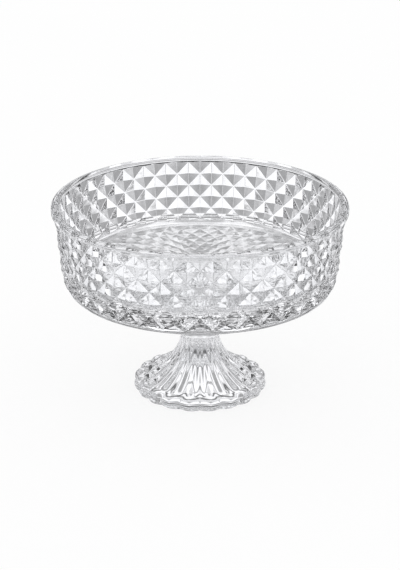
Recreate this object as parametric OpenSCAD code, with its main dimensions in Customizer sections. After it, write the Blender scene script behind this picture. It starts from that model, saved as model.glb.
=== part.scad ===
// Footed trifle bowl of pressed glass: a round bowl with a diamond-cut wall and underside,
// bonded to a fluted pedestal foot.

/* [Overall] */
// Outside diameter at the rim
rim_d = 230; // [200:1:260]
// Height of the rim above the table
overall_h = 155; // [145:1:175]
// Depth from the rim to the floor inside
bowl_depth = 51; // [45:0.5:62]
// Glass thickness under the floor
base_t = 17; // [14:0.5:22]
// Height of the bonded seam above the table
seam_h = 45; // [38:0.5:50]

/* [Rim and wall] */
// Thickness of the rounded lip
lip_t = 6; // [5:0.1:7]
// Height of the plain band at the rim
rim_band_h = 5; // [4:0.1:8]
// How far the wall steps back below the plain band
band_step = 1.3; // [0.6:0.1:2.4]
// Lean of the outside of the wall, in degrees
outside_lean = 5.7; // [3:0.1:8]
// Lean of the inside of the wall, in degrees
inside_lean = 8.2; // [6:0.1:10]
// Radius of the rounding where the inside meets the floor
floor_fillet_r = 5; // [3:0.5:9]
// Height of the plain rounded corner below the wall
corner_h = 22; // [18:0.5:26]
// How far that corner draws in at the bottom
corner_run = 6.5; // [4:0.5:12]
// Lean of the underside, falling toward the stem, in degrees
underside_lean = 7; // [0:0.5:10]

/* [Diamond cut] */
// Number of diamonds around the bowl
diamonds = 36; // [30:2:42]
// Height of one diamond on the wall
diamond_h = 19.3; // [15:0.1:24]
// Depth of the wall's V grooves below the points
wall_groove_depth = 2.4; // [1.4:0.1:2.8]
// Depth of the underside's V grooves at their outer ends
under_groove_depth = 0.5; // [0.3:0.1:1.5]
// Radius at which the underside's cut begins
under_outer_r = 97; // [90:0.5:99]
// Radius at which the underside's cut ends, round the stem
under_inner_r = 27; // [25:0.5:36]
// How far each point stays below the plain surface
point_relief = 0.3; // [0.2:0.05:0.6]

/* [Stem] */
// Diameter of the smooth stem under the bowl
stem_d = 28.6; // [24:0.1:32]
// Radius of the flare from the stem into the underside
stem_flare_r = 11; // [7:0.5:12]
// Thickness of the clear bond between stem and foot
bond_t = 0.2; // [0.1:0.05:0.5]

/* [Foot] */
// Diameter of the foot over its lobes
foot_d = 106; // [98:1:116]
// Number of flutes around the foot
flutes = 20; // [16:2:24]
// Diameter over the flutes at the top of the foot
foot_top_d = 30.4; // [29:0.1:34]
// Width of the lobed ring round the foot
ring_w = 9; // [7:0.5:12]
// Height at which the flutes end
ledge_h = 10.9; // [10:0.1:13]
// How far the ends of the flutes stand above the ring
ledge_step = 1.6; // [0.8:0.1:2.4]
// How far out the step runs at the ends of the flutes
ledge_run = 1.2; // [0.6:0.1:2]
// Height of the corner that the ring's rounding is drawn toward
shoulder_h = 8.6; // [7:0.1:9.5]
// How far the edge draws in again at the table
edge_draw_in = 0.8; // [0.4:0.1:1.5]
// Depth of the creases between the flutes at their ends, and between the lobes
crease_depth = 2.2; // [1.2:0.1:2.6]
// Depth of the creases at the top of the foot
top_crease_depth = 1; // [0.4:0.1:1.2]
// Width of the ring that the foot rests on, over its lobes
rest_ring_w = 10; // [8:0.5:12]
// Height of the hollow under the foot
hollow_h = 38; // [26:0.5:39]
// Radius of the domed top of the hollow
hollow_dome_r = 7; // [6:0.5:9]

/* [Hidden] */
$fn = 96;

// How far a cutting shape runs past what it cuts
cut_overrun = 5;
// Steps in each curved stretch of an outline
curve_steps = 12;
// Steps down the foot's flare, over its ring and down its edge
flare_steps = 10;
ring_steps = 5;
edge_steps = 2;
// Steps across one flute
flute_steps = 6;
// Height of the flare's control point on the foot, as a share of the foot's height
flare_height_share = 0.507;
// Place of that control point between the foot's top and edge radii
flare_place_share = 0.0545;
// Turn of the hollow's dome from its top to the start of its bell, in degrees
dome_turn = 45;
// Reach of the bell's first stretch, as a share of the hollow's radius
bell_reach_share = 0.25;
// Height at which the edge is widest, as a share of the shoulder's height
edge_widest_share = 0.42;
// Depth of the creases where the ring begins, as a share of their depth at the edge
ring_crease_share = 0.12;

rim_r = rim_d / 2;
stem_r = stem_d / 2;
floor_h = overall_h - bowl_depth;
base_h = floor_h - base_t;
pattern_top_h = overall_h - rim_band_h;
lip_centre_h = overall_h - lip_t / 2;
wall_top_r = rim_r - band_step;
corner_top_h = base_h + corner_h;
foot_h = seam_h - bond_t;
foot_top_r = foot_top_d / 2;
foot_edge_r = foot_d / 2;
ledge_r = foot_edge_r - ring_w;
hollow_r = foot_edge_r - rest_ring_w;

// Radius of the plain outside of the wall at a height
function outside_r(h) = wall_top_r - (pattern_top_h - h) * tan(outside_lean);
// Radius of the inside of the wall at a height
function inside_r(h) = rim_r - lip_t - (lip_centre_h - h) * tan(inside_lean);
// Height of the plain underside at a radius
function underside_h(r) = base_h - (outside_r(base_h) - corner_run - r) * tan(underside_lean);

// Points along an arc
function arc(centre, r, from, to) =
    [for (i = [0:curve_steps])
        let (a = from + (to - from) * i / curve_steps)
        [centre[0] + r * cos(a), centre[1] + r * sin(a)]];

// One point of a curve that leaves a for c, drawn toward b
function bend(a, b, c, t) = a * (1 - t) * (1 - t) + b * 2 * t * (1 - t) + c * t * t;

// Points along that curve
function bend_points(a, b, c, steps) = [for (i = [0:steps]) bend(a, b, c, i / steps)];

// Triangles of a closed skin over rings of points, with one point at each end.
// The cut across each cell changes side like the squares of a chessboard.
function skin_faces(rings, cols) = concat(
    [for (j = [0:cols - 1]) [0, ring_index(0, j, cols), ring_index(0, j + 1, cols)]],
    [for (i = [0:rings - 2], j = [0:cols - 1])
        let (
            a = ring_index(i, j, cols),
            b = ring_index(i, j + 1, cols),
            c = ring_index(i + 1, j + 1, cols),
            d = ring_index(i + 1, j, cols)
        )
        each (is_groove(i, j) ? [[a, c, b], [a, d, c]] : [[a, d, b], [b, d, c]])],
    [for (j = [0:cols - 1])
        [rings * cols + 1, ring_index(rings - 1, j + 1, cols), ring_index(rings - 1, j, cols)]]
);

// Place of a ring's point in the list of all points
function ring_index(i, j, cols) = 1 + i * cols + j % cols;

// True where two grooves cross, and false at a diamond's point
function is_groove(i, j) = (i + j) % 2 == 1;

// A point at a radius, a turn from the front and a height
function polar(r, turn, h) = [r * sin(turn), -r * cos(turn), h];

// Rings of the diamond cut, from above the rim, down the wall and in along the underside
half_row = diamond_h / 2;
cut_cols = 2 * diamonds;
wall_rows = ceil((pattern_top_h - base_h + cut_overrun) / half_row);
under_rows = 2 * round((under_outer_r - under_inner_r) / diamond_h);
under_step = (under_outer_r - under_inner_r) / under_rows;
cut_clear_r = rim_r + cut_overrun;
cut_low_h = pattern_top_h - wall_rows * half_row;
cut_bottom_h = seam_h - cut_overrun;

// One row of the wall's cut: point radius, then groove radius
function wall_row(k) =
    let (h = pattern_top_h - k * half_row, r = outside_r(h) - point_relief)
    [[r, h], [r - wall_groove_depth, h]];

// One row of the underside's cut, shallower toward the stem
function under_row(m) =
    let (
        r = under_outer_r - m * under_step,
        h = underside_h(r) + point_relief,
        depth = under_groove_depth * r / under_outer_r
    )
    [[r, h], [r, h + depth]];

// A plain ring, with no grooves
function plain_row(r, h) = [[r, h], [r, h]];

cut_rows = concat(
    [plain_row(cut_clear_r, overall_h + cut_overrun), plain_row(cut_clear_r, pattern_top_h)],
    [for (k = [0:wall_rows]) wall_row(k)],
    [plain_row(under_outer_r + cut_overrun, cut_low_h)],
    [for (m = [0:under_rows]) under_row(m)],
    [plain_row(under_inner_r, cut_bottom_h)]
);

// Everything inside the diamond cut
module diamond_cut() {
    points = concat(
        [[0, 0, overall_h + cut_overrun]],
        [for (i = [0:len(cut_rows) - 1], j = [0:cut_cols - 1])
            let (at = cut_rows[i][is_groove(i, j) ? 1 : 0])
            polar(at[0], j * 360 / cut_cols, at[1])],
        [[0, 0, cut_bottom_h]]
    );
    polyhedron(points, skin_faces(len(cut_rows), cut_cols), convexity = 10);
}

// Outline of the plain bowl: stem, flare, underside, rounded corner, wall, rim band and inside
module bowl_section() {
    fillet_centre = [
        inside_r(floor_h + floor_fillet_r) - floor_fillet_r / cos(inside_lean),
        floor_h + floor_fillet_r
    ];
    corner = [
        for (i = [0:curve_steps])
            let (a = 90 - 90 * i / curve_steps, h = corner_top_h - corner_h * sin(a))
            [outside_r(h) - corner_run * (1 - cos(a)), h]
    ];
    flare_r = stem_r + stem_flare_r;
    flare_h = underside_h(flare_r - stem_flare_r * sin(underside_lean))
        - stem_flare_r * cos(underside_lean);
    polygon(concat(
        [[0, seam_h], [stem_r, seam_h]],
        arc([flare_r, flare_h], stem_flare_r, 180, 90 + underside_lean),
        corner,
        [[wall_top_r, pattern_top_h], [rim_r, pattern_top_h], [rim_r, lip_centre_h]],
        [[rim_r - lip_t, lip_centre_h]],
        arc(fillet_centre, floor_fillet_r, -inside_lean, -90),
        [[0, floor_h]]
    ));
    translate([rim_r - lip_t / 2, lip_centre_h])
        circle(d = lip_t);
}

module bowl() {
    color("gainsboro")
        intersection() {
            rotate_extrude()
                bowl_section();
            diamond_cut();
        }
}

module bond_film() {
    color("whitesmoke")
        translate([0, 0, foot_h])
            cylinder(r = stem_r, h = bond_t);
}

// Outline of the foot over its lobes: the flare, the step at its end, the ring and the edge
widest_h = shoulder_h * edge_widest_share;
flare = bend_points(
    [foot_top_r, foot_h],
    [foot_top_r + (ledge_r - foot_top_r) * flare_place_share, foot_h * flare_height_share],
    [ledge_r, ledge_h],
    flare_steps
);
ring = bend_points(
    [ledge_r + ledge_run, ledge_h - ledge_step],
    [foot_edge_r, shoulder_h],
    [foot_edge_r, widest_h],
    ring_steps
);
edge = bend_points(
    [foot_edge_r, widest_h],
    [foot_edge_r, widest_h / 2],
    [foot_edge_r - edge_draw_in, 0],
    edge_steps
);
foot_line = concat(
    [[foot_top_r, foot_h + cut_overrun]],
    flare,
    ring,
    [for (i = [1:edge_steps]) edge[i]],
    [[foot_edge_r - edge_draw_in, -cut_overrun]]
);
foot_cols = flutes * flute_steps;

// Share of the way from an inner to an outer radius
function between(r, inner, outer) = min(1, max(0, (r - inner) / (outer - inner)));

// Depth of the creases at a radius, down the flutes and then out over the ring's lobes
function crease_at(r) =
    let (start = crease_depth * ring_crease_share)
    r <= ledge_r
        ? top_crease_depth + (crease_depth - top_crease_depth) * between(r, foot_top_r, ledge_r)
        : start + (crease_depth - start) * between(r, ledge_r + ledge_run, foot_edge_r);

// How deep into a crease a point lies: scooped down the flutes, round over the lobes
function crease_share(r, turn) =
    let (scoop = (1 + cos(2 * turn)) / 2, lobe = 1 - sin(turn))
    scoop + (lobe - scoop) * between(r, ledge_r, foot_edge_r);

// Direction across the outline at one of its points, outward
function across(line, i) =
    let (d = line[min(i + 1, len(line) - 1)] - line[max(i - 1, 0)])
    [-d[1], d[0]] / norm(d);

module fluted_skin() {
    top_h = foot_line[0][1];
    bottom_h = foot_line[len(foot_line) - 1][1];
    points = concat(
        [[0, 0, top_h]],
        [for (i = [0:len(foot_line) - 1], j = [0:foot_cols - 1])
            let (
                r = foot_line[i][0],
                low = crease_at(r) * crease_share(r, 180 * (j % flute_steps) / flute_steps),
                at = foot_line[i] - across(foot_line, i) * low
            )
            polar(at[0], j * 360 / foot_cols, at[1])],
        [[0, 0, bottom_h]]
    );
    polyhedron(points, skin_faces(len(foot_line), foot_cols), convexity = 10);
}

// Outline of the hollow under the foot, from its domed top to its mouth at the table
module hollow_section() {
    dome_centre_h = hollow_h - hollow_dome_r;
    bell_turn = 90 - dome_turn;
    bell_top = [hollow_dome_r * cos(bell_turn), dome_centre_h + hollow_dome_r * sin(bell_turn)];
    bell_reach = hollow_r * bell_reach_share;
    polygon(concat(
        [[0, -cut_overrun]],
        arc([0, dome_centre_h], hollow_dome_r, 90, bell_turn),
        bend_points(
            bell_top,
            bell_top + bell_reach * [cos(dome_turn), -sin(dome_turn)],
            [hollow_r, 0],
            curve_steps
        ),
        [[hollow_r, -cut_overrun]]
    ));
}

module pedestal_foot() {
    trim_w = foot_d + cut_overrun;
    color("gainsboro")
        difference() {
            fluted_skin();
            rotate_extrude()
                hollow_section();
            translate([-trim_w / 2, -trim_w / 2, foot_h])
                cube([trim_w, trim_w, foot_h]);
            translate([-trim_w / 2, -trim_w / 2, -foot_h])
                cube([trim_w, trim_w, foot_h]);
        }
}

bowl();
bond_film();
pedestal_foot();
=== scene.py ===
"""Footed trifle bowl of clear pressed glass, diamond cut, on a fluted foot."""
import math

import bmesh
import bpy
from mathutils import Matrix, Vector


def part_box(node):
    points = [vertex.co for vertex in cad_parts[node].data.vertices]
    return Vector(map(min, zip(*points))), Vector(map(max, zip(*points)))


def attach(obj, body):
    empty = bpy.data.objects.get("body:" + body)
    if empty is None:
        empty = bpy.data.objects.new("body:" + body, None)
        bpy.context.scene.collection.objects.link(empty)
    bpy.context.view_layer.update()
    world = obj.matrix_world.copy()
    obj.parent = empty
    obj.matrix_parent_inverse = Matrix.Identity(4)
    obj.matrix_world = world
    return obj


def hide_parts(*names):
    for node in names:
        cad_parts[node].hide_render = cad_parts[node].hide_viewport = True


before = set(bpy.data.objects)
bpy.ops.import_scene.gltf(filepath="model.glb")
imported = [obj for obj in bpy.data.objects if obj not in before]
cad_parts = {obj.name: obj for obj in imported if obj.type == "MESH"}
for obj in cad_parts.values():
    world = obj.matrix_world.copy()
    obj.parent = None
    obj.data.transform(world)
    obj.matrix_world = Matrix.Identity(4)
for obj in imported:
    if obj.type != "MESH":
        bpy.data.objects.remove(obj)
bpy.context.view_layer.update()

# Sizes read from the frame, in metres
bowl_low, bowl_high = (Vector(corner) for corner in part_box("bowl"))
film_low, film_high = (Vector(corner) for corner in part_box("bond_film"))
foot_high = Vector(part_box("pedestal_foot")[1])
MM = 0.001
RIM_R = bowl_high.x
OVERALL_H = bowl_high.z
SEAM_H = bowl_low.z
STEM_R = film_high.x
FOOT_H = foot_high.z

# Bowl, as in the part's own source
BOWL_DEPTH = 51 * MM
BASE_T = 17 * MM
LIP_T = 6 * MM
RIM_BAND_H = 5 * MM
BAND_STEP = 1.3 * MM
OUTSIDE_LEAN = math.radians(5.7)
INSIDE_LEAN = math.radians(8.2)
FLOOR_FILLET_R = 5 * MM
CORNER_H = 22 * MM
CORNER_RUN = 6.5 * MM
UNDERSIDE_LEAN = math.radians(7)
STEM_FLARE_R = 11 * MM

# Diamond cut
DIAMONDS = 36
DIAMOND_H = 19.3 * MM
WALL_GROOVE_DEPTH = 2.4 * MM
UNDER_GROOVE_DEPTH = 0.6 * MM
UNDER_OUTER_R = 97 * MM
UNDER_INNER_R = 27 * MM
POINT_RELIEF = 0.3 * MM
EDGE_SOFTNESS = 0.2 * MM
CUT_OVERRUN = 5 * MM

# Foot
FOOT_EDGE_R = 53 * MM
FLUTES = 20
FOOT_TOP_R = 15.2 * MM
RING_W = 9 * MM
LEDGE_H = 10.9 * MM
LEDGE_STEP = 1.6 * MM
LEDGE_RUN = 1.2 * MM
SHOULDER_H = 8.6 * MM
EDGE_DRAW_IN = 0.8 * MM
TOP_CREASE_DEPTH = 1.0 * MM
CREASE_DEPTH = 2.2 * MM
RING_CREASE_SHARE = 0.12
REST_RING_W = 10 * MM
HOLLOW_R = FOOT_EDGE_R - REST_RING_W
HOLLOW_H = 38 * MM
HOLLOW_DOME_R = 7 * MM
FLARE_HEIGHT_SHARE = 0.507
FLARE_PLACE_SHARE = 0.0545
EDGE_WIDEST_SHARE = 0.42
BELL_REACH_SHARE = 0.25

# Fineness of the meshes
TURN_STEPS = 288
CURVE_STEPS = 24
FLUTE_STEPS = 16
BAND_STEPS = 4
EDGE_STEPS = 8
BEAD_STEPS = 6
WELD_DISTANCE = 0.002 * MM
# Turns between faces above which an edge of the cut is softened, and an edge is shown crisp
SOFTENED_TURN = math.radians(6)
CUT_CRISP_TURN = math.radians(6)
CRISP_TURN = math.radians(30)
# What counts as a face at the seam: its distance from it, and how far its normal is upright
SEAM_TOLERANCE = 0.01 * MM
LEVEL_SHARE = 0.9

# Glass and bond: refraction, tints and the mould's marks, with patterns in repeats per metre
GLASS_IOR = 1.52
GLASS_TINTS = ((0.976, 0.981, 0.987, 1), (0.988, 0.991, 0.995, 1))
GLASS_CLOUDS = 24
HAZE_CLOUDS = 90
HAZE_DETAIL = 4
HAZE_ROUGHNESS = ((0.0, 0.0, 0.0, 1), (0.02, 0.02, 0.02, 1))
RIPPLES = 130
RIPPLE_DETAIL = 1
RIPPLE_STRENGTH = 0.15
RIPPLE_H = 0.4 * MM
BOND_IOR = 1.5
BOND_TINTS = ((0.88, 0.89, 0.9, 1), (0.97, 0.975, 0.98, 1))
BOND_CLOUDS = 300
BOND_ROUGHNESS = 0.1
CLOUD_DETAIL = 2
CLOUD_STOPS = (0.35, 0.65)

# Floor
FLOOR_HALF = 6.0
FLOOR_DROP = 0.02 * MM
FLOOR_TINTS = ((0.94, 0.94, 0.94, 1), (0.95, 0.95, 0.95, 1))
FLOOR_CLOUDS = 3

# Camera, fitted to the rim, the rows of diamonds and the foot in the photograph
VIEW_DISTANCE = 1.4
VIEW_ELEVATION = math.radians(22.3)
VIEW_AIM_H = 85 * MM
FOCAL_PIXELS = 1780
FRAME_PIXELS = 570
SENSOR_W = 36

# Studio that only the glass shows: its brightness by degrees above the horizon
STUDIO_LEVELS = [
    (-90, 1.0), (-44, 1.03), (-42, 0.15), (-40, 0.15), (-38.5, 1.0), (-33.53, 1.14),
    (-32.82, 0.35), (-32.12, 0.35), (-31.41, 1.18), (-30.71, 1.14), (-30, 0.98), (-27.5, 1.02),
    (-20, 1.08), (-16, 0.63), (-13, 0.63), (-11, 1.1), (-6, 1.05), (-3.5, 0.05), (4.5, 0.05),
    (8, 0.48), (18, 0.76), (20, 0.08), (23.5, 0.08), (25.5, 0.84), (40, 1.4), (48, 1.4),
    (49.5, 0.1), (53, 0.1), (54.5, 1.4), (60, 1.4), (68, 0.1), (90, 0.05),
]
COOLNESS = 1.02
# Slanted light panels all round it, and the gaps between them, also by degrees
PANELS_AROUND = 12
PANEL_RISE = math.radians(14.5)
PANEL_EDGE = 0.5
PANEL_LEVEL = 1.06
GAP_LEVELS = [
    (-90, 0.62), (-37, 0.62), (-34.5, 0.85), (-30.8, 0.85), (-29.6, 0.6), (-27.3, 0.36),
    (-18, 0.36), (-16, 0.6), (90, 0.6),
]
# Plain white for the camera and the floor, and how much of it the floor shows in shadow too
WHITE = (1, 1, 1, 1)
FILL_LEVEL = 1.0
WHITE_SHARE = 0.88
# How often light may bounce in all, and off the glass
BOUNCES = 24
MIRROR_BOUNCES = 10

floor_h = OVERALL_H - BOWL_DEPTH
base_h = floor_h - BASE_T
pattern_top_h = OVERALL_H - RIM_BAND_H
lip_centre_h = OVERALL_H - LIP_T / 2
wall_top_r = RIM_R - BAND_STEP
corner_top_h = base_h + CORNER_H
ledge_r = FOOT_EDGE_R - RING_W
ring_h = LEDGE_H - LEDGE_STEP


def outside_r(h):
    """Radius of the plain outside of the wall at a height."""
    return wall_top_r - (pattern_top_h - h) * math.tan(OUTSIDE_LEAN)


def inside_r(h):
    """Radius of the inside of the wall at a height."""
    return RIM_R - LIP_T - (lip_centre_h - h) * math.tan(INSIDE_LEAN)


def underside_h(r):
    """Height of the plain underside at a radius."""
    return base_h - (outside_r(base_h) - CORNER_RUN - r) * math.tan(UNDERSIDE_LEAN)


def arc(centre, r, start, end, steps=CURVE_STEPS):
    """Points along an arc, with its angles in radians."""
    turns = [start + (end - start) * i / steps for i in range(steps + 1)]
    return [(centre[0] + r * math.cos(a), centre[1] + r * math.sin(a)) for a in turns]


def stretch(a, b, steps):
    """Points along a straight line, without its last one."""
    return [
        (a[0] + (b[0] - a[0]) * i / steps, a[1] + (b[1] - a[1]) * i / steps)
        for i in range(steps)
    ]


def bend(a, b, c, steps=CURVE_STEPS):
    """Points along a curve that leaves a for c, drawn toward b."""
    points = []
    for i in range(steps + 1):
        t = i / steps
        weights = ((1 - t) ** 2, 2 * t * (1 - t), t ** 2)
        points.append(tuple(sum(w * p[k] for w, p in zip(weights, (a, b, c))) for k in (0, 1)))
    return points


def polar(r, turn, h):
    """A point at a radius, a turn from the front and a height."""
    return (r * math.sin(turn), -r * math.cos(turn), h)


def skin(name, rings, cut_across=None):
    """A closed mesh over rings of points, from a single point to a single point."""
    points = [point for ring in rings for point in ring]
    starts = [sum(len(ring) for ring in rings[:i]) for i in range(len(rings))]
    faces = []
    for i in range(len(rings) - 1):
        cols = max(len(rings[i]), len(rings[i + 1]))
        for j in range(cols):
            k = (j + 1) % cols
            upper = [starts[i] + (n if len(rings[i]) > 1 else 0) for n in (j, k)]
            lower = [starts[i + 1] + (n if len(rings[i + 1]) > 1 else 0) for n in (j, k)]
            if upper[0] == upper[1]:
                faces.append((upper[0], lower[0], lower[1]))
            elif lower[0] == lower[1]:
                faces.append((upper[0], lower[0], upper[1]))
            elif cut_across is None:
                faces.append((upper[0], lower[0], lower[1], upper[1]))
            elif cut_across(i, j):
                faces += [(upper[0], lower[1], upper[1]), (upper[0], lower[0], lower[1])]
            else:
                faces += [(upper[0], lower[0], upper[1]), (upper[1], lower[0], lower[1])]
    mesh = bpy.data.meshes.new(name)
    mesh.from_pydata(points, [], faces)
    mesh.validate()
    piece = bpy.data.objects.new(name, mesh)
    bpy.context.scene.collection.objects.link(piece)
    return piece


def turned(name, outline, steps=TURN_STEPS):
    """A solid of revolution from an outline that starts and ends on the axis."""
    rings = []
    for r, h in outline:
        count = steps if r > 0 else 1
        rings.append([polar(r, math.tau * j / steps, h) for j in range(count)])
    return skin(name, rings)


def applied(piece):
    """Replace a piece's mesh with the result of its modifiers."""
    bpy.context.view_layer.update()
    depsgraph = bpy.context.evaluated_depsgraph_get()
    mesh = bpy.data.meshes.new_from_object(piece.evaluated_get(depsgraph))
    mesh.name = piece.name
    piece.modifiers.clear()
    piece.data = mesh


def weld(mesh):
    """Join points that lie together, so no sliver is left by the carving."""
    shape = bmesh.new()
    shape.from_mesh(mesh)
    bmesh.ops.remove_doubles(shape, verts=shape.verts, dist=WELD_DISTANCE)
    bmesh.ops.dissolve_degenerate(shape, edges=shape.edges, dist=WELD_DISTANCE)
    shape.to_mesh(mesh)
    shape.free()


def bowl_outline():
    """The plain bowl from the floor's middle, over the rim, to the stem's foot."""
    fillet_h = floor_h + FLOOR_FILLET_R
    fillet_r = inside_r(fillet_h) - FLOOR_FILLET_R / math.cos(INSIDE_LEAN)
    fillet = arc((fillet_r, fillet_h), FLOOR_FILLET_R, -math.pi / 2, -INSIDE_LEAN)
    lip = arc((RIM_R - LIP_T / 2, lip_centre_h), LIP_T / 2, math.pi, 0, 2 * CURVE_STEPS)
    corner = []
    for i in range(CURVE_STEPS + 1):
        a = math.pi / 2 * i / CURVE_STEPS
        h = corner_top_h - CORNER_H * math.sin(a)
        corner.append((outside_r(h) - CORNER_RUN * (1 - math.cos(a)), h))
    flare_r = STEM_R + STEM_FLARE_R
    flare_h = underside_h(flare_r - STEM_FLARE_R * math.sin(UNDERSIDE_LEAN))
    flare_h -= STEM_FLARE_R * math.cos(UNDERSIDE_LEAN)
    flare = arc((flare_r, flare_h), STEM_FLARE_R, math.pi / 2 + UNDERSIDE_LEAN, math.pi)
    return (
        stretch((0, floor_h), fillet[0], CURVE_STEPS)
        + fillet[:-1]
        + stretch(fillet[-1], lip[0], CURVE_STEPS)
        + lip[:-1]
        + stretch(lip[-1], (RIM_R, pattern_top_h), BAND_STEPS)
        + [(RIM_R, pattern_top_h)]
        + stretch((wall_top_r, pattern_top_h), corner[0], CURVE_STEPS)
        + corner[:-1]
        + stretch(corner[-1], flare[0], CURVE_STEPS)
        + flare
        + [(STEM_R, SEAM_H), (0, SEAM_H)]
    )


def is_groove(i, j):
    """True where two grooves cross, and false at a diamond's point."""
    return (i + j) % 2 == 1


def diamond_rows():
    """Rows of the cut, each with its points' place and its crossings' place."""
    half_row = DIAMOND_H / 2
    clear_r = RIM_R + CUT_OVERRUN
    wall_rows = math.ceil((pattern_top_h - base_h + CUT_OVERRUN) / half_row)
    under_rows = 2 * round((UNDER_OUTER_R - UNDER_INNER_R) / DIAMOND_H)
    under_step = (UNDER_OUTER_R - UNDER_INNER_R) / under_rows
    low_h = pattern_top_h - wall_rows * half_row
    rows = [((clear_r, OVERALL_H + CUT_OVERRUN),) * 2, ((clear_r, pattern_top_h),) * 2]
    for k in range(wall_rows + 1):
        h = pattern_top_h - k * half_row
        r = outside_r(h) - POINT_RELIEF
        rows.append(((r, h), (r - WALL_GROOVE_DEPTH, h)))
    rows.append(((UNDER_OUTER_R + CUT_OVERRUN, low_h),) * 2)
    for m in range(under_rows + 1):
        r = UNDER_OUTER_R - m * under_step
        h = underside_h(r) + POINT_RELIEF
        rows.append(((r, h), (r, h + UNDER_GROOVE_DEPTH * r / UNDER_OUTER_R)))
    rows.append(((UNDER_INNER_R, SEAM_H - CUT_OVERRUN),) * 2)
    return rows


def diamond_cutter():
    """Everything inside the diamond cut, with its edges a little rounded."""
    cols = 2 * DIAMONDS
    rows = diamond_rows()
    rings = [[(0, 0, rows[0][0][1])]]
    for i, row in enumerate(rows):
        places = [row[1 if is_groove(i, j) else 0] for j in range(cols)]
        rings.append([polar(r, math.tau * j / cols, h) for j, (r, h) in enumerate(places)])
    rings.append([(0, 0, rows[-1][0][1])])
    cutter = skin("diamond_cutter", rings, cut_across=lambda i, j: is_groove(i - 1, j))
    soften = cutter.modifiers.new("soften", "BEVEL")
    soften.width = EDGE_SOFTNESS
    soften.segments = 1
    soften.limit_method = "ANGLE"
    soften.angle_limit = SOFTENED_TURN
    applied(cutter)
    return cutter


def diamond_bowl():
    """The bowl: its plain turned form, cut down to the diamonds."""
    piece = turned("bowl_glass", bowl_outline())
    cutter = diamond_cutter()
    carve = piece.modifiers.new("carve", "BOOLEAN")
    carve.operation = "INTERSECT"
    carve.solver = "MANIFOLD"
    carve.object = cutter
    applied(piece)
    bpy.data.objects.remove(cutter)
    weld(piece.data)
    return piece


def between(r, inner, outer):
    """Share of the way from an inner to an outer radius."""
    return min(1, max(0, (r - inner) / (outer - inner)))


def crease_depth(r):
    """Depth of the creases at a radius, down the flutes and out over the ring."""
    if r <= ledge_r:
        share = between(r, FOOT_TOP_R, ledge_r)
        return TOP_CREASE_DEPTH + (CREASE_DEPTH - TOP_CREASE_DEPTH) * share
    start = CREASE_DEPTH * RING_CREASE_SHARE
    return start + (CREASE_DEPTH - start) * between(r, ledge_r + LEDGE_RUN, FOOT_EDGE_R)


def foot_outline():
    """The foot's outside over its lobes: the flare, the step at its end and the ring."""
    control_r = FOOT_TOP_R + (ledge_r - FOOT_TOP_R) * FLARE_PLACE_SHARE
    control = (control_r, FOOT_H * FLARE_HEIGHT_SHARE)
    widest = (FOOT_EDGE_R, SHOULDER_H * EDGE_WIDEST_SHARE)
    table = (FOOT_EDGE_R - EDGE_DRAW_IN, 0)
    flare = bend((FOOT_TOP_R, FOOT_H), control, (ledge_r, LEDGE_H))
    ring = bend((ledge_r + LEDGE_RUN, ring_h), (FOOT_EDGE_R, SHOULDER_H), widest)
    edge = bend(widest, (FOOT_EDGE_R, widest[1] / 2), table, EDGE_STEPS)
    return flare + ring + edge[1:]


def hollow_outline():
    """The hollow under the foot, from its mouth at the table to its domed top."""
    dome_h = HOLLOW_H - HOLLOW_DOME_R
    dome_turn = math.pi / 4
    dome = arc((0, dome_h), HOLLOW_DOME_R, dome_turn, math.pi / 2)
    reach = HOLLOW_R * BELL_REACH_SHARE
    bell_top = dome[0]
    control_r = bell_top[0] + reach * math.cos(dome_turn)
    control_h = bell_top[1] - reach * math.sin(dome_turn)
    bell = bend((HOLLOW_R, 0), (control_r, control_h), bell_top)
    return bell[:-1] + dome[:-1] + [(0, HOLLOW_H)]


def fluted_foot():
    """The foot: convex flutes with creases between them, hollow underneath."""
    cols = FLUTES * FLUTE_STEPS
    line = foot_outline()
    rings = [[(0, 0, FOOT_H)]]
    for i, (r, h) in enumerate(line):
        before = line[max(i - 1, 0)]
        after = line[min(i + 1, len(line) - 1)]
        along = Vector((after[0] - before[0], after[1] - before[1])).normalized()
        across = (-along.y, along.x)
        if i in (0, len(line) - 1):
            across = (1, 0)
        ring = []
        for j in range(cols):
            u = (j % FLUTE_STEPS) / FLUTE_STEPS
            lobe = 1 - math.sin(math.pi * u)
            scoop = (1 + math.cos(math.tau * u)) / 2
            round_share = between(r, ledge_r, FOOT_EDGE_R)
            depth = crease_depth(r) * (scoop + (lobe - scoop) * round_share)
            ring.append(polar(r - across[0] * depth, math.tau * j / cols, h - across[1] * depth))
        rings.append(ring)
    for r, h in hollow_outline():
        count = cols if r > 0 else 1
        rings.append([polar(r, math.tau * j / cols, h) for j in range(count)])
    return skin("foot_glass", rings)


def bond_bead():
    """The clear bond: a thin disc whose rim bulges slightly."""
    middle_h = (film_low.z + film_high.z) / 2
    half_t = (film_high.z - film_low.z) / 2
    rim = arc((STEM_R - half_t, middle_h), half_t, math.pi / 2, -math.pi / 2, BEAD_STEPS)
    return turned("bond_bead", [(0, film_high.z)] + rim + [(0, film_low.z)])


def new_material(name):
    """A node material, with its nodes, links and shader."""
    material = bpy.data.materials.new(name)
    material.use_nodes = True
    nodes = material.node_tree.nodes
    return material, nodes, material.node_tree.links, nodes["Principled BSDF"]


def noise(nodes, links, scale, detail=CLOUD_DETAIL):
    """A cloudy pattern that keeps its place on the object."""
    place = nodes.new("ShaderNodeTexCoord")
    cloud = nodes.new("ShaderNodeTexNoise")
    cloud.inputs["Scale"].default_value = scale
    cloud.inputs["Detail"].default_value = detail
    links.new(place.outputs["Object"], cloud.inputs["Vector"])
    return cloud.outputs["Fac"]


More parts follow.
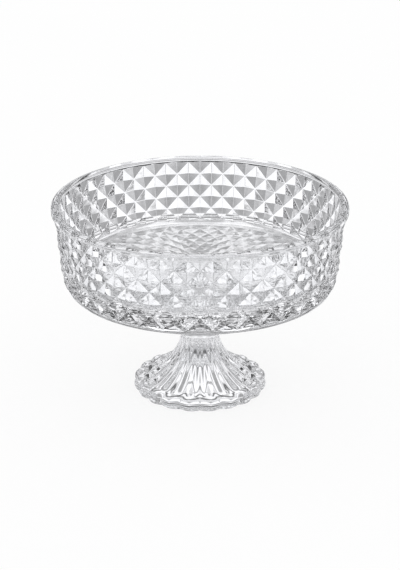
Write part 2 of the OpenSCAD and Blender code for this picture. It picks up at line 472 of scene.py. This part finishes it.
def clouded(nodes, links, pattern, colours):
    """The first colour to the second along a pattern."""
    mixed = nodes.new("ShaderNodeValToRGB")
    for stop, place, colour in zip(mixed.color_ramp.elements, CLOUD_STOPS, colours):
        stop.position = place
        stop.color = colour
    links.new(pattern, mixed.inputs["Fac"])
    return mixed.outputs["Color"]


def maths(nodes, links, operation, *terms):
    """The result of an operation on sockets and plain numbers."""
    node = nodes.new("ShaderNodeMath")
    node.operation = operation
    for socket, term in zip(node.inputs, terms):
        if isinstance(term, (int, float)):
            socket.default_value = term
        else:
            links.new(term, socket)
    return node.outputs["Value"]


def pressed_glass():
    """Clear glass with the soft ripple and faint haze left by the mould."""
    material, nodes, links, shader = new_material("pressed_glass")
    shader.inputs["Transmission Weight"].default_value = 1.0
    shader.inputs["IOR"].default_value = GLASS_IOR
    tint = clouded(nodes, links, noise(nodes, links, GLASS_CLOUDS), GLASS_TINTS)
    links.new(tint, shader.inputs["Base Color"])
    haze = noise(nodes, links, HAZE_CLOUDS, HAZE_DETAIL)
    links.new(clouded(nodes, links, haze, HAZE_ROUGHNESS), shader.inputs["Roughness"])
    bump = nodes.new("ShaderNodeBump")
    bump.inputs["Strength"].default_value = RIPPLE_STRENGTH
    bump.inputs["Distance"].default_value = RIPPLE_H
    links.new(noise(nodes, links, RIPPLES, RIPPLE_DETAIL), bump.inputs["Height"])
    links.new(bump.outputs["Normal"], shader.inputs["Normal"])
    return material


def clear_bond():
    """Cured clear adhesive, a shade greyer than the glass."""
    material, nodes, links, shader = new_material("clear_bond")
    shader.inputs["Transmission Weight"].default_value = 1.0
    shader.inputs["IOR"].default_value = BOND_IOR
    tint = clouded(nodes, links, noise(nodes, links, BOND_CLOUDS), BOND_TINTS)
    links.new(tint, shader.inputs["Base Color"])
    shader.inputs["Roughness"].default_value = BOND_ROUGHNESS
    return material


def bonded_face():
    """A face that the clear bond wets, so light goes straight through it."""
    material = bpy.data.materials.new("bonded_face")
    material.use_nodes = True
    nodes = material.node_tree.nodes
    nodes.clear()
    clear = nodes.new("ShaderNodeBsdfTransparent")
    output = nodes.new("ShaderNodeOutputMaterial")
    material.node_tree.links.new(clear.outputs["BSDF"], output.inputs["Surface"])
    return material


def finish_glass(piece, node, glass, wetted, seams, crisp_turn):
    """Give a piece its glass, its wetted faces, its smooth shading and its place."""
    mesh = piece.data
    mesh.materials.clear()
    mesh.materials.append(glass)
    mesh.materials.append(wetted)
    for face in mesh.polygons:
        at_seam = any(abs(face.center.z - h) <= SEAM_TOLERANCE for h in seams)
        face.material_index = 1 if at_seam and abs(face.normal.z) >= LEVEL_SHARE else 0
        face.use_smooth = True
    mesh.set_sharp_from_angle(angle=crisp_turn)
    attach(piece, "root")
    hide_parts(node)


def pale_floor():
    """A white sweep that shows the foot's faint shadow."""
    material, nodes, links, shader = new_material("pale_floor")
    tint = clouded(nodes, links, noise(nodes, links, FLOOR_CLOUDS), FLOOR_TINTS)
    links.new(tint, shader.inputs["Base Color"])
    shader.inputs["Roughness"].default_value = 1.0
    shader.inputs["Specular IOR Level"].default_value = 0.0
    white = nodes.new("ShaderNodeEmission")
    white.inputs["Color"].default_value = WHITE
    rays = nodes.new("ShaderNodeLightPath")
    mix = nodes.new("ShaderNodeMixShader")
    share = maths(nodes, links, "MULTIPLY", rays.outputs["Is Camera Ray"], WHITE_SHARE)
    links.new(share, mix.inputs["Fac"])
    links.new(shader.outputs["BSDF"], mix.inputs[1])
    links.new(white.outputs["Emission"], mix.inputs[2])
    links.new(mix.outputs["Shader"], nodes["Material Output"].inputs["Surface"])
    corners = [(x * FLOOR_HALF, y * FLOOR_HALF, 0) for x, y in ((-1, -1), (1, -1), (1, 1), (-1, 1))]
    mesh = bpy.data.meshes.new("floor")
    mesh.from_pydata(corners, [], [(0, 1, 2, 3)])
    mesh.materials.append(material)
    floor = bpy.data.objects.new("floor", mesh)
    bpy.context.scene.collection.objects.link(floor)
    floor.location.z = -FLOOR_DROP
    floor.visible_transmission = False
    floor.visible_glossy = False


def by_height(nodes, links, height, levels):
    """Brightness along the height, from straight below the object to overhead."""
    bands = nodes.new("ShaderNodeValToRGB")
    stops = bands.color_ramp.elements
    stops.remove(stops[1])
    for i, (degrees, level) in enumerate(levels):
        place = 0.5 + degrees / 180
        stop = stops.new(place) if i else stops[0]
        stop.position = place
        stop.color = (level, level, level * COOLNESS, 1)
    links.new(height, bands.inputs["Fac"])
    return bands.outputs["Color"]


def studio_light():
    """White to the camera and the floor; a soft grey studio to the glass."""
    world = bpy.data.worlds.new("studio")
    bpy.context.scene.world = world
    world.use_nodes = True
    nodes = world.node_tree.nodes
    links = world.node_tree.links
    nodes.clear()
    place = nodes.new("ShaderNodeTexCoord")
    parts = nodes.new("ShaderNodeSeparateXYZ")
    links.new(place.outputs["Generated"], parts.inputs["Vector"])
    elevation = maths(nodes, links, "ARCSINE", parts.outputs["Z"])
    height = nodes.new("ShaderNodeMapRange")
    height.inputs["From Min"].default_value = -math.pi / 2
    height.inputs["From Max"].default_value = math.pi / 2
    links.new(elevation, height.inputs["Value"])
    dome = by_height(nodes, links, height.outputs["Result"], STUDIO_LEVELS)
    gaps = by_height(nodes, links, height.outputs["Result"], GAP_LEVELS)
    bearing = maths(nodes, links, "ARCTAN2", parts.outputs["X"], parts.outputs["Y"])
    aside = maths(nodes, links, "ABSOLUTE", bearing)
    raised = maths(nodes, links, "ADD", elevation, PANEL_RISE)
    slanted = maths(nodes, links, "ADD", aside, raised)
    turns = maths(nodes, links, "MULTIPLY", slanted, PANELS_AROUND)
    panels = nodes.new("ShaderNodeMapRange")
    panels.inputs["From Min"].default_value = -PANEL_EDGE
    panels.inputs["From Max"].default_value = PANEL_EDGE
    panels.inputs["To Max"].default_value = PANEL_LEVEL
    links.new(gaps, panels.inputs["To Min"])
    links.new(maths(nodes, links, "COSINE", turns), panels.inputs["Value"])
    studio = nodes.new("ShaderNodeBackground")
    links.new(dome, studio.inputs["Color"])
    links.new(panels.outputs["Result"], studio.inputs["Strength"])
    plain = nodes.new("ShaderNodeBackground")
    plain.inputs["Color"].default_value = WHITE
    plain.inputs["Strength"].default_value = FILL_LEVEL
    rays = nodes.new("ShaderNodeLightPath")
    seen = (rays.outputs["Is Camera Ray"], rays.outputs["Is Diffuse Ray"])
    mix = nodes.new("ShaderNodeMixShader")
    links.new(maths(nodes, links, "MAXIMUM", *seen), mix.inputs["Fac"])
    links.new(studio.outputs["Background"], mix.inputs[1])
    links.new(plain.outputs["Background"], mix.inputs[2])
    output = nodes.new("ShaderNodeOutputWorld")
    links.new(mix.outputs["Shader"], output.inputs["Surface"])


def photo_camera():
    """The photograph's view."""
    data = bpy.data.cameras.new("camera")
    data.sensor_fit = "AUTO"
    data.sensor_width = SENSOR_W
    data.lens = FOCAL_PIXELS * data.sensor_width / FRAME_PIXELS
    camera = bpy.data.objects.new("camera", data)
    bpy.context.scene.collection.objects.link(camera)
    aim = Vector((0, 0, VIEW_AIM_H))
    back = Vector((0, -math.cos(VIEW_ELEVATION), math.sin(VIEW_ELEVATION)))
    camera.location = aim + back * VIEW_DISTANCE
    camera.rotation_euler = back.to_track_quat("Z", "Y").to_euler()
    bpy.context.scene.camera = camera


glass = pressed_glass()
wetted = bonded_face()
finish_glass(diamond_bowl(), "bowl", glass, wetted, [SEAM_H], CUT_CRISP_TURN)
finish_glass(fluted_foot(), "pedestal_foot", glass, wetted, [FOOT_H], CRISP_TURN)
bond_seams = [film_low.z, film_high.z]
finish_glass(bond_bead(), "bond_film", clear_bond(), wetted, bond_seams, CRISP_TURN)
pale_floor()
studio_light()
photo_camera()

scene = bpy.context.scene
scene.view_settings.view_transform = "Standard"
scene.cycles.max_bounces = BOUNCES
scene.cycles.transmission_bounces = BOUNCES
scene.cycles.glossy_bounces = MIRROR_BOUNCES
